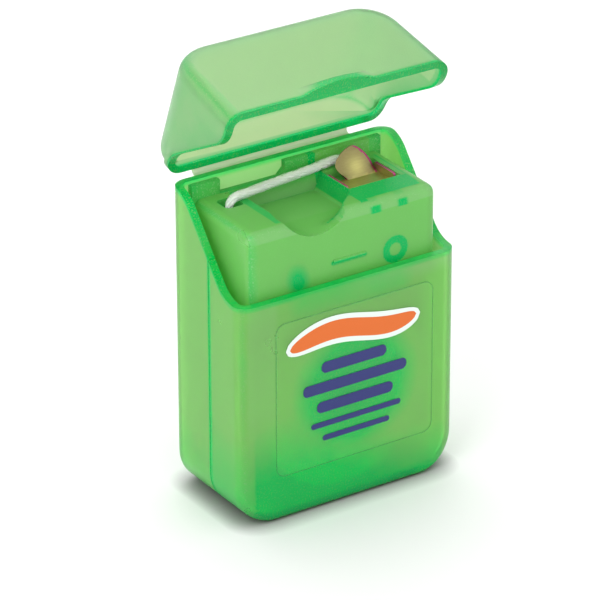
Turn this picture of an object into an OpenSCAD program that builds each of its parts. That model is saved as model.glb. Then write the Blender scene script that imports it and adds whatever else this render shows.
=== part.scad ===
// Flip-lid dental floss dispenser, lid open.
// X points right, Y to the back, Z up. The origin is the centre of the case's flat bottom.

/* [Case] */
// Width of the case from side to side
case_w = 38; // [36:0.5:44]
// Depth of the case from front to back
case_d = 19; // [18.5:0.5:24]
// Height of the low front lip above the bottom
front_lip_h = 36; // [35:0.5:42]
// How much higher the rim stands at the hinge than at the front lip
rim_rise = 13; // [11.5:0.5:14]
// Wall thickness of both shells and of the lid
wall = 1.2; // [1:0.1:1.5]
// Radius of the upright and bottom edges
edge_r = 2.5; // [2.2:0.1:3]
// Radius of the bottom corners, seen from the front
foot_corner_r = 6; // [5:0.5:8]
// Distance of the parting seam from the front face
seam_from_front = 8.5; // [7:0.5:11]

/* [Rim] */
// Radius of the two bends of the S-shaped side rim
rim_bend_r = 5.4; // [4:0.2:6]
// Slope of the straight stretch of the side rim
rim_slope = 50; // [45:1:60]
// Level stretch of the side rim at the front
rim_front_flat = 2; // [1:0.2:2.6]

/* [Lid] */
// Height of the closed lid's top above the bottom, at the front
lid_front_h = 54.2; // [53:0.2:58]
// Height of the closed lid's top above the bottom, at the back
lid_back_h = 57; // [56:0.2:60]
// Radius of the lid's top corners, seen from the front
lid_corner_r = 6; // [5:0.5:8]
// How much each side of the lid draws in from the rim to the top
lid_draft = 0.8; // [0:0.1:1]
// Angle by which the lid stands open
lid_open = 77; // [0:1:170]
// Gap between the rims of the closed lid and the case
lid_gap = 0.25; // [0.15:0.05:0.5]
// Width of the thumb lip
thumb_w = 12.6; // [8:0.2:18]
// How far the thumb lip stands out
thumb_out = 1.3; // [0.8:0.1:2]
// Height of the thumb lip
thumb_h = 2.3; // [1.5:0.1:3]

/* [Hinge film] */
// Length of the living hinge along the back edge
hinge_w = 27; // [20:0.5:30]
// Place of the middle of the living hinge along the back edge
hinge_x = -1; // [-2:0.5:2]
// Distance of the hinge axis behind the back face
hinge_out = 0.65; // [0.5:0.05:0.9]
// Thickness of the hinge film
hinge_t = 0.3; // [0.2:0.05:0.4]

/* [Inner frame] */
// Width of the neck that stands out of the case
neck_w = 32.6; // [32:0.2:33.4]
// Gap between the case's front face and the neck's front face
neck_inset = 1.7; // [1.6:0.05:1.9]
// Height of the neck's top above the front lip
neck_rise = 10.4; // [9.5:0.1:11]
// Wall thickness of the inner frame
frame_wall = 1.2; // [1:0.1:1.4]
// Radius of the neck's outer edges
neck_edge_r = 1.5; // [1:0.1:1.9]
// Thickness of the back plate
plate_t = 1; // [0.8:0.1:1.2]
// Height of the two back tabs above the neck's top
back_tab_rise = 2.2; // [1:0.1:2.6]
// Left edge of the finger recess
recess_left = -9.4; // [-10:0.2:-9]
// Right edge of the finger recess
recess_right = 4.4; // [3:0.2:4.6]
// Depth of the finger recess below the neck's top
recess_depth = 2.7; // [2:0.1:3]
// How far the recess's right wall leans out from the floor to the top
recess_draft = 0.8; // [0:0.1:1]
// Radius of the U-shaped scoop in the neck's front
scoop_r = 6.4; // [5.5:0.1:7]
// Place of the scoop's middle
scoop_x = -4.6; // [-5:0.1:-4]
// Width of the floss exit hole
exit_w = 3; // [2.4:0.1:3.2]
// Depth of the floss exit hole from front to back
exit_d = 3.2; // [2.4:0.1:3.6]
// Place of the left ring boss
boss_left_x = -8.2; // [-10:0.1:-7]
// Place of the right ring boss
boss_right_x = 8.9; // [7:0.1:10]
// Outer diameter of the ring bosses
boss_d = 4.9; // [4:0.1:5.4]
// Bore of the ring bosses
boss_bore = 2.3; // [1.5:0.1:3]
// Height of the ring bosses' middle above the front lip
boss_rise = 1.9; // [1.8:0.1:3]
// Length of the snap bead that holds the lid shut
bead_l = 5.6; // [4:0.2:8]
// Place of the snap bead's middle
bead_x = 0.8; // [-1:0.2:2]
// Height of the snap bead above the front lip
bead_rise = 2.7; // [2:0.1:4]
// How far the snap bead stands out
bead_out = 0.3; // [0.2:0.05:0.35]

/* [Cutter] */
// Width of the window that holds the cutter
window_w = 9; // [8.6:0.2:9.6]
// Depth of the window from front to back
window_d = 7.2; // [6.8:0.2:7.6]
// Thickness of the cutter's sheet metal
metal_t = 0.4; // [0.3:0.05:0.5]
// Depth of the cutter's plate below the neck's top
cutter_drop = 1.2; // [1:0.1:1.5]
// Width of the tongue that the floss is pulled under
tongue_w = 6.2; // [5:0.2:7]
// Height of the tongue along its slope
tongue_h = 4.9; // [4:0.1:5.4]
// Angle by which the tongue leans back
tongue_lean = 27; // [15:1:32]
// Radius to which the tongue is domed
tongue_dome_r = 6; // [4:0.2:8]

/* [Spool] */
// Diameter of the spool's flanges
spool_d = 29; // [26:0.5:29]
// Thickness of the spool's flanges
flange_t = 0.8; // [0.6:0.1:1]
// Outer diameter of the spool's hub
hub_d = 10; // [9:0.5:12]
// Diameter of the post that the spool turns on
post_d = 6.8; // [6:0.1:7]
// Bore of the hollow post
post_bore = 4; // [3:0.1:4.4]
// Height of the rings that the hub runs against
thrust_ring_h = 0.4; // [0.3:0.05:0.5]

/* [Floss] */
// Diameter of the drawn floss
floss_d = 1.4; // [1.2:0.1:1.5]
// Diameter of the floss where it is wound tight
wound_d = 0.9; // [0.8:0.05:1]
// Gap between the turns of the outer layer
turn_gap = 0.5; // [0.45:0.05:0.7]
// How far the winding stays below the flanges' edge
winding_drop = 0.6; // [0.4:0.1:1.2]

/* [Label] */
// Width of the clear label
label_w = 27.6; // [24:0.2:30]
// Height of the clear label
label_h = 25; // [20:0.5:26]
// Distance of the label's top below the front lip
label_drop = 3.8; // [3:0.1:5]
// Place of the label's middle
label_x = 0.7; // [-1:0.1:1]
// Radius of the label's corners
label_corner_r = 1.6; // [1:0.1:3]
// Thickness of the label
label_t = 0.12; // [0.1:0.02:0.2]

/* [Clearances] */
// Gap between pieces that are fixed to each other
fixed_gap = 0.1; // [0.05:0.01:0.15]
// Radial gap between the spool and its post
running_gap = 0.1; // [0.06:0.01:0.1]
// End gap between the spool's hub and the rings it runs against
end_gap = 0.25; // [0.2:0.05:0.3]
// Gap between the spool's rim and the case's floor
spool_floor_gap = 1; // [0.5:0.1:1.5]
// Gap between the spool's rim and the neck above it
spool_neck_gap = 1.2; // [0.5:0.1:1.4]

/* [Hidden] */

green = [0.25, 0.72, 0.36, 0.6];
pale_green = [0.86, 0.93, 0.78];
frame_green = [0.2, 0.66, 0.3, 0.7];
brass = [0.72, 0.68, 0.38];
milky = [0.86, 0.9, 0.84];
yarn_white = [0.93, 0.96, 0.92];
clear_film = [0.8, 0.95, 0.8, 0.3];

half_w = case_w / 2;
half_d = case_d / 2;
hinge_z = front_lip_h + rim_rise;
hinge_y = half_d + hinge_out;
seam_y = -half_d + seam_from_front;
inner_front = -half_d + wall;
inner_back = half_d - wall;
// reach of a cutting slab past the whole part, overlap of joined shapes, and how far a cut runs past a face
beyond = 100;
bite = 0.2;
over = 1;
arc_step = 22.5;

// Points of a quarter circle in the front view, for the rounded corners
function corner_arc(side, y, x_mid, z_mid, r, turn) = [
  for (a = [0 : arc_step : 90]) [side * (x_mid + r * cos(a)), y, z_mid + turn * r * sin(a)]
];

// Middles of the edge balls of the closed box, for one upright edge
function edge_points(side, front) =
  let (
    y = front ? -half_d + edge_r : half_d - edge_r,
    rim_z = front ? front_lip_h : hinge_z,
    top_z = front ? lid_front_h : lid_back_h
  )
  concat(
    corner_arc(side, y, half_w - foot_corner_r, foot_corner_r, foot_corner_r - edge_r, -1),
    [[side * (half_w - edge_r), y, rim_z]],
    corner_arc(
      side, y, half_w - lid_draft - lid_corner_r, top_z - lid_corner_r, lid_corner_r - edge_r, 1
    )
  );

// A ball whose corners reach its full radius along X, Y and Z
module ball(r) {
  rotate_extrude($fn = 20) polygon([for (a = [-90 : 18 : 90]) [r * cos(a), r * sin(a)]]);
}

// The closed box with its lid on, shrunk by inset on every side
module closed_box(inset) {
  hull()
    for (side = [-1, 1], front = [true, false], p = edge_points(side, front))
      translate(p) ball(edge_r - inset);
}

// The S-shaped side rim as points in Y and Z, from the front to the back
rim_run = (rim_rise - 2 * rim_bend_r * (1 - cos(rim_slope))) / sin(rim_slope);
rim_y1 = -half_d + rim_front_flat;
rim_y2 = rim_y1 + 2 * rim_bend_r * sin(rim_slope) + rim_run * cos(rim_slope);
rim_steps = 8;
rim_curve = concat(
  [for (i = [0 : rim_steps]) let (a = rim_slope * i / rim_steps)
    [rim_y1 + rim_bend_r * sin(a), front_lip_h + rim_bend_r * (1 - cos(a))]],
  [for (i = [rim_steps : -1 : 0]) let (a = rim_slope * i / rim_steps)
    [rim_y2 - rim_bend_r * sin(a), hinge_z - rim_bend_r * (1 - cos(a))]]
);

// A slab across the whole width with the given outline in Y and Z
module across(outline) {
  rotate([90, 0, 90]) linear_extrude(height = beyond, center = true) polygon(outline);
}

// The rim from far in front to far behind
rim_line = concat([[-beyond, front_lip_h]], rim_curve, [[beyond, hinge_z]]);

// Everything below the rim
module below_rim() {
  across(concat([[-beyond, -beyond]], rim_line, [[beyond, -beyond]]));
}

// Everything above the rim, with the gap of the closed lid
module above_rim() {
  translate([0, 0, lid_gap]) across(concat([[-beyond, beyond]], rim_line, [[beyond, beyond]]));
}

// A slab between two places in Y
module y_slab(from, to) {
  translate([-beyond, from, -beyond]) cube([2 * beyond, to - from, 2 * beyond]);
}

// A cylinder along Y
module y_rod(d, from, to, x = 0, z = 0) {
  translate([x, to, z]) rotate([90, 0, 0]) cylinder(d = d, h = to - from, $fn = 64);
}

lap_l = 1;
lap_inset = wall / 2;
spool_z = wall + spool_floor_gap + spool_d / 2;
plate_front = inner_back - fixed_gap - plate_t;
ring_d = hub_d;
rib_x = 13.3;
rib_t = 1;
rib_h = 5.5;
rib_seam_gap = 4;

// Short upright ribs on the floor, left and right of the spool
module floor_ribs(from, to) {
  for (side = [-1, 1])
    translate([side * rib_x - rib_t / 2, from, wall - bite])
      cube([rib_t, to - from, rib_h + bite]);
}

// Back half of the case
module rear_shell() {
  color(green) {
    difference() {
      intersection() {
        closed_box(0);
        below_rim();
        y_slab(seam_y, beyond);
      }
      closed_box(wall);
      intersection() {
        closed_box(lap_inset);
        y_slab(seam_y - over, seam_y + lap_l);
      }
    }
    intersection() {
      floor_ribs(seam_y + lap_l + bite, plate_front - fixed_gap);
      closed_box(wall / 2);
    }
  }
}

// Front half of the case, with the tongue that laps into the back half
module front_shell() {
  color(green) {
    difference() {
      intersection() {
        union() {
          intersection() {
            closed_box(0);
            y_slab(-beyond, seam_y);
          }
          intersection() {
            closed_box(lap_inset + fixed_gap / 2);
            y_slab(seam_y - over, seam_y + lap_l - fixed_gap);
          }
        }
        below_rim();
      }
      closed_box(wall);
    }
    intersection() {
      floor_ribs(inner_front - bite, seam_y - rib_seam_gap);
      closed_box(wall / 2);
    }
    // ring that the post's end sits in
    difference() {
      y_rod(ring_d, inner_front - bite, inner_front + thrust_ring_h, 0, spool_z);
      y_rod(post_d + 2 * fixed_gap, inner_front, beyond, 0, spool_z);
    }
  }
}

// Turns the closed lid to where it stands open
module open_lid() {
  translate([0, hinge_y, hinge_z]) rotate([-lid_open, 0, 0])
    translate([0, -hinge_y, -hinge_z]) children();
}

// Lid with its thumb lip
module lid() {
  thumb_r = (pow(thumb_w / 2, 2) + pow(thumb_out, 2)) / (2 * thumb_out);
  color(green) open_lid() {
    difference() {
      intersection() {
        closed_box(0);
        above_rim();
      }
      closed_box(wall);
    }
    intersection() {
      translate([0, thumb_r - half_d - thumb_out, front_lip_h + lid_gap])
        cylinder(r1 = thumb_r, r2 = thumb_r - thumb_out / 2, h = thumb_h, $fn = 96);
      y_slab(-half_d - beyond, wall / 2 - half_d);
    }
  }
}

// Living hinge, bent between the back edges of the case and the open lid
module hinge_film() {
  lid_clear_a = 4;
  start_z = hinge_z - hinge_t / 2;
  lid_y = -hinge_out * cos(lid_open) + (lid_gap + hinge_t / 2) * sin(lid_open) + hinge_y;
  lid_z = hinge_out * sin(lid_open) + (lid_gap + hinge_t / 2) * cos(lid_open) + hinge_z;
  dy = lid_y - half_d;
  dz = lid_z - start_z;
  bend_r = (dy * dy + dz * dz) / (2 * dz);
  // the bend ends a few degrees short, clear of the lid
  end_a = asin(min(1, dy / bend_r)) - lid_clear_a;
  steps = 8;
  outline = concat(
    [for (i = [0 : steps]) let (a = end_a * i / steps)
      [half_d + (bend_r + hinge_t / 2) * sin(a), start_z + bend_r - (bend_r + hinge_t / 2) * cos(a)]],
    [for (i = [steps : -1 : 0]) let (a = end_a * i / steps)
      [half_d + (bend_r - hinge_t / 2) * sin(a), start_z + bend_r - (bend_r - hinge_t / 2) * cos(a)]]
  );
  color(pale_green)
    translate([hinge_x - hinge_w / 2, 0, 0]) rotate([90, 0, 90])
      linear_extrude(height = hinge_w) polygon(outline);
}

neck_half = neck_w / 2;
neck_front = -half_d + neck_inset;
neck_top = front_lip_h + neck_rise;
neck_bottom = spool_z + spool_d / 2 + spool_neck_gap;
neck_inner_front = neck_front + frame_wall;
floor_z = neck_top - recess_depth;
recess_back = 5.4;
recess_front = -2;
window_x = recess_right + frame_wall / 4;
window_y = -2;
window_back = window_y + window_d;
seat_z = neck_top - cutter_drop;
exit_x = -12.3;
exit_y = 3.6;
boss_l = 4;
boss_z = front_lip_h + boss_rise;
rail_bottom = 6;
rail_setback = 3;
rail_front = neck_front + rail_setback;

// Body of the neck with rounded edges, shrunk by inset
module neck_body(inset, bottom) {
  least_r = 0.3;
  slice_t = 1;
  r = max(least_r, neck_edge_r - inset);
  x = neck_half - inset - r;
  y1 = neck_front + inset + r;
  hull() {
    for (side = [-1, 1]) {
      translate([side * x, y1, neck_top - inset - r]) sphere(r = r, $fn = 24);
      translate([side * x, y1, bottom]) cylinder(r = r, h = slice_t, $fn = 24);
      translate([side * x, plate_front - r, neck_top - inset - r]) rotate([-90, 0, 0])
        cylinder(r = r, h = r, $fn = 24);
      translate([side * (x + r) - (side > 0 ? r : 0), plate_front - r, bottom]) cube([r, r, slice_t]);
    }
    translate([-x, y1, neck_top - inset - r]) cube([2 * x, plate_front - y1, r]);
    translate([-x - r, y1, bottom]) cube([2 * (x + r), plate_front - y1, slice_t]);
    translate([-x, y1 - r, bottom]) cube([2 * x, slice_t, neck_top - inset - r - bottom]);
  }
}

// Finger recess, which runs from the U-shaped scoop in front to a flat trough behind.
// The trough's right wall leans outwards from the floor to the top.
module recess(grow) {
  scoop_z = floor_z + scoop_r;
  left = recess_left - grow;
  trough_d = recess_back - recess_front + grow;
  hull() {
    intersection() {
      y_rod(2 * (scoop_r + grow), neck_front - over, neck_front + frame_wall, scoop_x, scoop_z);
      translate([-beyond, -beyond, 0]) cube([2 * beyond, 2 * beyond, neck_top + over]);
    }
    translate([left, recess_front, floor_z - grow])
      cube([recess_right - recess_draft + grow - left, trough_d, over]);
    translate([left, recess_front, neck_top])
      cube([recess_right + grow - left, trough_d, over]);
  }
}

// Back plate outline in X and Z, drawn in from the case's outline by the edge radius
module plate_outline(top) {
  r = foot_corner_r - edge_r;
  w = case_w - 2 * edge_r;
  translate([-w / 2 + r, edge_r]) square([w - 2 * r, top - edge_r]);
  translate([-w / 2, foot_corner_r]) square([w, top - foot_corner_r]);
  for (side = [-1, 1])
    translate([side * (w / 2 - r), foot_corner_r]) circle(r = r, $fn = 48);
}

// Back plate with the two tabs that rise behind the neck
module back_plate() {
  notch_left = -11.7;
  notch_right = -0.4;
  bevel = 1.1;
  tab_top = neck_top + back_tab_rise;
  translate([0, plate_front + plate_t, 0]) rotate([90, 0, 0])
    linear_extrude(height = plate_t) difference() {
      plate_outline(tab_top);
      polygon([
        [notch_left, neck_top], [notch_right - bevel, neck_top], [notch_right, neck_top + bevel],
        [notch_right, tab_top + over], [notch_left, tab_top + over]
      ]);
    }
}

shelf_t = 0.8;
seat_rim = 1;
tab_w = 1.7;
tab_h = 2.2;
tab_l = 1.2;
tab_left = 0.8;
tab_step = 4.7;

// Seat under the window: a ledge that carries the cutter, with two tabs to the neck's front
module cutter_seat() {
  shelf_z = seat_z - metal_t - shelf_t;
  beam_front = neck_inner_front + tab_l;
  skin = frame_wall / 2;
  translate([window_x - seat_rim, beam_front, shelf_z])
    cube([window_w + 2 * seat_rim, window_back + seat_rim - beam_front, neck_top - skin - shelf_z]);
  for (x = [window_x + tab_left, window_x + tab_left + tab_step])
    translate([x - tab_w / 2, neck_inner_front - bite, neck_top - tab_h])
      cube([tab_w, tab_l + 2 * bite, tab_h - skin]);
}

ledge = 1.2;
post_end_t = 1;

// Inner frame: neck, back plate, side rails and the spool's post
module inner_frame() {
  color(frame_green) {
    difference() {
      union() {
        difference() {
          neck_body(0, neck_bottom);
          neck_body(frame_wall, neck_bottom - frame_wall);
        }
        intersection() {
          union() {
            recess(frame_wall);
            cutter_seat();
          }
          neck_body(frame_wall / 2, neck_bottom - frame_wall);
        }
        back_plate();
        for (side = [-1, 1])
          translate([side * (neck_half - frame_wall / 2) - frame_wall / 2, rail_front, rail_bottom])
            cube([frame_wall, plate_front + bite - rail_front, neck_bottom + over - rail_bottom]);
        for (x = [boss_left_x, boss_right_x])
          y_rod(boss_d, neck_inner_front - bite, neck_inner_front + boss_l, x, boss_z);
        y_rod(ring_d, plate_front - thrust_ring_h, plate_front + bite, 0, spool_z);
        y_rod(post_d, inner_front + fixed_gap, plate_front + bite, 0, spool_z);
        translate([bead_x, neck_front, front_lip_h + bead_rise]) rotate([0, 90, 0])
          cylinder(r = bead_out, h = bead_l, center = true, $fn = 32);
      }
      recess(0);
      translate([exit_x - exit_w / 2, exit_y - exit_d / 2, neck_top - frame_wall - over])
        cube([exit_w, exit_d, frame_wall + 2 * over]);
      translate([window_x, window_y, seat_z - metal_t])
        cube([window_w, window_d, beyond]);
      translate([window_x + ledge, window_y + ledge, neck_bottom])
        cube([window_w - 2 * ledge, window_d - 2 * ledge, beyond]);
      for (x = [boss_left_x, boss_right_x])
        y_rod(boss_bore, neck_inner_front, neck_inner_front + boss_l + over, x, boss_z);
      y_rod(post_bore, inner_front - over, plate_front - post_end_t, 0, spool_z);
    }
  }
}

foot_in = 1.1;
bulge_share = 0.47;
hip_share = 0.12;

// Outline of the tongue: a leaf that leans to the left, full on that side and slanting on the other
function tongue_outline() =
  let (w = tongue_w / 2, bulge_h = tongue_h * bulge_share, hip_h = tongue_h * hip_share)
  concat(
    [[foot_in - w, 0]],
    [for (a = [180 : -15 : 90]) [w * cos(a), bulge_h + (tongue_h - bulge_h) * sin(a)]],
    [for (a = [75 : -15 : 0]) [w * cos(a), hip_h + (tongue_h - hip_h) * sin(a)]],
    [[w, 0]]
  );

// Tongue standing upright: its outline cut from a tube of the dome's radius
module tongue() {
  intersection() {
    rotate([90, 0, 0]) translate([0, 0, -beyond / 2])
      linear_extrude(height = beyond) polygon(tongue_outline());
    translate([0, tongue_dome_r - metal_t, -over]) difference() {
      cylinder(r = tongue_dome_r, h = tongue_h + 2 * over, $fn = 64);
      translate([0, 0, -over]) cylinder(r = tongue_dome_r - metal_t, h = tongue_h + 4 * over, $fn = 64);
      translate([-beyond, 0, -over]) cube([2 * beyond, beyond, beyond]);
    }
  }
}

flange_in = 0.8;
slot_over = 0.4;
fold_side = 0.7;
fold_back = 5;

// Stamped cutter: a plate with two side flanges, whose back is cut free and bent up into a domed tongue
module cutter() {
  x0 = window_x + fixed_gap;
  w = window_w - 2 * fixed_gap;
  y0 = window_y + fixed_gap;
  d = window_d - 2 * fixed_gap;
  flange_h = cutter_drop - fixed_gap;
  fold_x = x0 + w / 2 + fold_side;
  fold_y = y0 + fold_back;
  color(brass) {
    difference() {
      translate([x0, y0, seat_z - metal_t]) cube([w, d, metal_t]);
      translate([fold_x - tongue_w / 2 - slot_over, fold_y + bite, seat_z - over])
        cube([tongue_w + slot_over + fixed_gap, window_d, 2 * over]);
    }
    for (x = [x0, x0 + w - metal_t])
      translate([x, y0 + flange_in, seat_z - bite]) cube([metal_t, d - 2 * flange_in, flange_h + bite]);
    intersection() {
      translate([-beyond, -beyond, seat_z - metal_t]) cube(2 * beyond);
      translate([fold_x, fold_y, seat_z - metal_t / 2]) rotate([-tongue_lean, 0, 0]) tongue();
    }
  }
}

spool_front = inner_front + thrust_ring_h + end_gap;
spool_back = plate_front - thrust_ring_h - end_gap;
yarn_front = spool_front + flange_t;
yarn_back = spool_back - flange_t;

// Spool: hub with two thin flanges
module spool_core() {
  color(milky) difference() {
    union() {
      y_rod(hub_d, spool_front, spool_back, 0, spool_z);
      y_rod(spool_d, spool_front, yarn_front, 0, spool_z);
      y_rod(spool_d, yarn_back, spool_back, 0, spool_z);
    }
    y_rod(post_d + 2 * running_gap, spool_front - over, spool_back + over, 0, spool_z);
  }
}

// Sweeps a tube of diameter d along points, with one outward direction per point
module tube(points, outward, d, sides) {
  n = len(points);
  ahead = [for (i = [0 : n - 1]) unit(points[min(i + 1, n - 1)] - points[max(i - 1, 0)])];
  rings = [for (i = [0 : n - 1])
    let (b = unit(cross(ahead[i], outward[i])), o = cross(b, ahead[i]))
    for (k = [0 : sides - 1])
      points[i] + d / 2 * (cos(360 * k / sides) * o + sin(360 * k / sides) * b)];
  faces = concat(
    [[for (k = [0 : sides - 1]) k]],
    [for (i = [0 : n - 2], k = [0 : sides - 1])
      let (a = i * sides + k, b = i * sides + (k + 1) % sides) [a, a + sides, b]],
    [for (i = [0 : n - 2], k = [0 : sides - 1])
      let (a = i * sides + k, b = i * sides + (k + 1) % sides) [b, a + sides, b + sides]],
    [[for (k = [sides - 1 : -1 : 0]) (n - 1) * sides + k]]
  );
  polyhedron(points = rings, faces = faces);
}

function unit(v) = v / norm(v);

// Outer layer of the winding, laid out flat: u runs round the spool and v along its axis
wind_r = spool_d / 2 - winding_drop - wound_d / 2;
turn_pitch = wound_d + turn_gap;
end_bend_r = wound_d;
end_straight = wound_d;
wind_v0 = yarn_front + fixed_gap + end_straight + end_bend_r;
wind_v1 = yarn_back - fixed_gap - end_straight - end_bend_r;
turns = floor((wind_v1 - wind_v0) / turn_pitch);
wind_u1 = 2 * PI * wind_r * turns;
wind_v2 = wind_v0 + turns * turn_pitch;
rings_per_turn = 24;
end_len = yarn_back - fixed_gap - wind_v2 - end_bend_r;
flat_route = concat(
  [[-end_bend_r, wind_v0 - end_bend_r - end_straight]],
  [for (a = [0 : 30 : 90]) [-end_bend_r * cos(a), wind_v0 - end_bend_r + end_bend_r * sin(a)]],
  [for (i = [1 : turns * rings_per_turn - 1])
    let (t = i / (turns * rings_per_turn)) [wind_u1 * t, wind_v0 + (wind_v2 - wind_v0) * t]],
  [for (a = [0 : 30 : 90]) [wind_u1 + end_bend_r * sin(a), wind_v2 + end_bend_r * (1 - cos(a))]],
  [[wind_u1 + end_bend_r, wind_v2 + end_bend_r + end_len]]
);
function on_spool(uv, r) =
  let (a = uv[0] / wind_r * 180 / PI) [r * sin(a), uv[1], spool_z + r * cos(a)];
wind_points = [for (uv = flat_route) on_spool(uv, wind_r)];
wind_outward = [for (p = wind_points) unit([p[0], 0, p[2] - spool_z])];
least_turn_gap = min([
  for (i = [0 : len(wind_points) - 1], j = [i + rings_per_turn / 2 : 1 : len(wind_points) - 1])
    norm(wind_points[i] - wind_points[j])
]) - wound_d;

// Winding: the outer layer of turns over a plain core
module floss_winding() {
  core_r = wind_r - wound_d / 2 - fixed_gap / 2;
  echo(str("least gap of the winding to itself, mm: ", least_turn_gap));
  color(yarn_white) {
    difference() {
      y_rod(2 * core_r, yarn_front + fixed_gap, yarn_back - fixed_gap, 0, spool_z);
      y_rod(hub_d + 2 * fixed_gap, yarn_front - over, yarn_back + over, 0, spool_z);
    }
    tube(wind_points, wind_outward, wound_d, 6);
  }
}

// Route of the drawn floss, chosen by hand: off the spool, up through the exit hole,
// over the recess and in behind the cutter's tongue
strand_route = [
  [-14.2, 3.4, 21.6], [-14.1, 3.4, 25], [-13.9, 3.4, 29], [-13.6, 3.4, 33], [-13.4, 3.4, 37],
  [-13.1, 3.4, 41], [-12.9, 3.4, 44], [-12.8, 3.3, 45.6], [-12.6, 3.2, 46.5], [-12.1, 3.2, 47.1],
  [-11.2, 3.3, 47.3], [-9.5, 3.5, 47.3], [-7, 3.9, 47.3], [-4, 4.3, 47.3], [-1, 4.7, 47.3],
  [2, 5.1, 47.3], [4.4, 5.5, 47.3], [6, 5.9, 47.3], [7.2, 6, 47.3], [8.2, 5.9, 47.3],
  [9, 5.6, 47.3], [9.7, 5.3, 47.3]
];

// Drawn floss
module floss_strand() {
  color(yarn_white)
    tube(strand_route, [for (p = strand_route) [0, 1, 0]], floss_d, 8);
}

// Clear label with round corners
module label_film() {
  r = label_corner_r;
  top = front_lip_h - label_drop;
  color(clear_film)
    translate([label_x, -half_d, 0]) rotate([90, 0, 0]) linear_extrude(height = label_t) {
      translate([-label_w / 2 + r, top - label_h]) square([label_w - 2 * r, label_h]);
      translate([-label_w / 2, top - label_h + r]) square([label_w, label_h - 2 * r]);
      for (side = [-1, 1], z = [top - label_h + r, top - r])
        translate([side * (label_w / 2 - r), z]) circle(r = r, $fn = 32);
    }
}

rear_shell();
front_shell();
lid();
hinge_film();
inner_frame();
cutter();
spool_core();
floss_winding();
floss_strand();
label_film();
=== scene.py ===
# Flip-lid dental floss dispenser of translucent green plastic, lid open.
# Metres; X to the right, Y to the back, Z up; the origin is the centre of the case's flat bottom.
import math
import random

import bmesh
import bpy
from mathutils import Matrix, Vector
from mathutils.bvhtree import BVHTree


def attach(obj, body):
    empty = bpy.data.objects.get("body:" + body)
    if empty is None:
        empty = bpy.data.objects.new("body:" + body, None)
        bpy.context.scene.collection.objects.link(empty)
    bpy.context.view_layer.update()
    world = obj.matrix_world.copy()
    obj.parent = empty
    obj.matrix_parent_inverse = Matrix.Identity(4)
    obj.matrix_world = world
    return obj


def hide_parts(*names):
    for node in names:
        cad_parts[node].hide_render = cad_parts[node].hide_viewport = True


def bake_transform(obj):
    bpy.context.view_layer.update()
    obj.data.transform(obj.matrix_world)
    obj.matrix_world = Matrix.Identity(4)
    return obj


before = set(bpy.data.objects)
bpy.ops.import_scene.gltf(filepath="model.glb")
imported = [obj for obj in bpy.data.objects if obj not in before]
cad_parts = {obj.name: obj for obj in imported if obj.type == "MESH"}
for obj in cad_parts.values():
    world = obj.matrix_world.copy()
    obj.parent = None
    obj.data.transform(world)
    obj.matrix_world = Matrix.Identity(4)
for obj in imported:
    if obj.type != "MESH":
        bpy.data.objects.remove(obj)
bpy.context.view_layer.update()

scene = bpy.context.scene
scene.view_settings.view_transform = "Standard"
scene.cycles.max_bounces = 24
scene.cycles.transmission_bounces = 24
scene.cycles.diffuse_bounces = 8

# Camera
# It looks down on the front left corner of the case from about arm's length, as a product shot does.
# Its place and turn come from the straight edges of the case in the photograph.
camera_data = bpy.data.cameras.new("camera")
camera_data.lens = 252.84
camera_data.sensor_width = 36.0
camera_data.clip_start = 0.05
camera_data.clip_end = 20.0
camera = bpy.data.objects.new("camera", camera_data)
scene.collection.objects.link(camera)
scene.camera = camera
camera_turn = math.radians(33.403)
camera_rise = math.radians(26.299)
camera_roll = -0.002298
camera_back = Vector((
    -math.sin(camera_turn) * math.cos(camera_rise),
    -math.cos(camera_turn) * math.cos(camera_rise),
    math.sin(camera_rise),
))
level_right = Vector((math.cos(camera_turn), -math.sin(camera_turn), 0.0))
level_up = camera_back.cross(level_right)
camera_right = level_right * math.cos(camera_roll) + level_up * math.sin(camera_roll)
camera_up = level_up * math.cos(camera_roll) - level_right * math.sin(camera_roll)
camera.matrix_world = Matrix.Translation((-0.307573, -0.462449, 0.303321)) @ Matrix((
    camera_right, camera_up, camera_back,
)).transposed().to_4x4()


# Frosted plastic
# All the green pieces are injection moulded polypropylene: clear enough to let light through, milky enough
# to blur what lies behind. The wall filters the light, so long ways through it come out deep green.
def add_node(tree, kind, sockets=None, **settings):
    """A new shader node. sockets gives the values of its inputs, and the rest are the node's settings."""
    node = tree.nodes.new("ShaderNode" + kind)
    for name, value in settings.items():
        setattr(node, name, value)
    for name, value in (sockets or {}).items():
        node.inputs[name].default_value = value
    return node


def blend_colours(tree, first, second, amount):
    """Blends a colour, or the colour of a socket, towards a second colour by the value of a socket."""
    blend = add_node(tree, "Mix", data_type="RGBA")
    if isinstance(first, tuple):
        blend.inputs["A"].default_value = (*first, 1.0)
    else:
        tree.links.new(first, blend.inputs["A"])
    blend.inputs["B"].default_value = (*second, 1.0)
    tree.links.new(amount, blend.inputs["Factor"])
    return blend.outputs["Result"]


def new_material(name, sockets):
    """A material with these values on its Principled shader. Gives its node tree and its shader too."""
    material = bpy.data.materials.new(name)
    material.use_nodes = True
    shader = material.node_tree.nodes["Principled BSDF"]
    for socket, value in sockets.items():
        shader.inputs[socket].default_value = value
    return material, material.node_tree, shader


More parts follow.
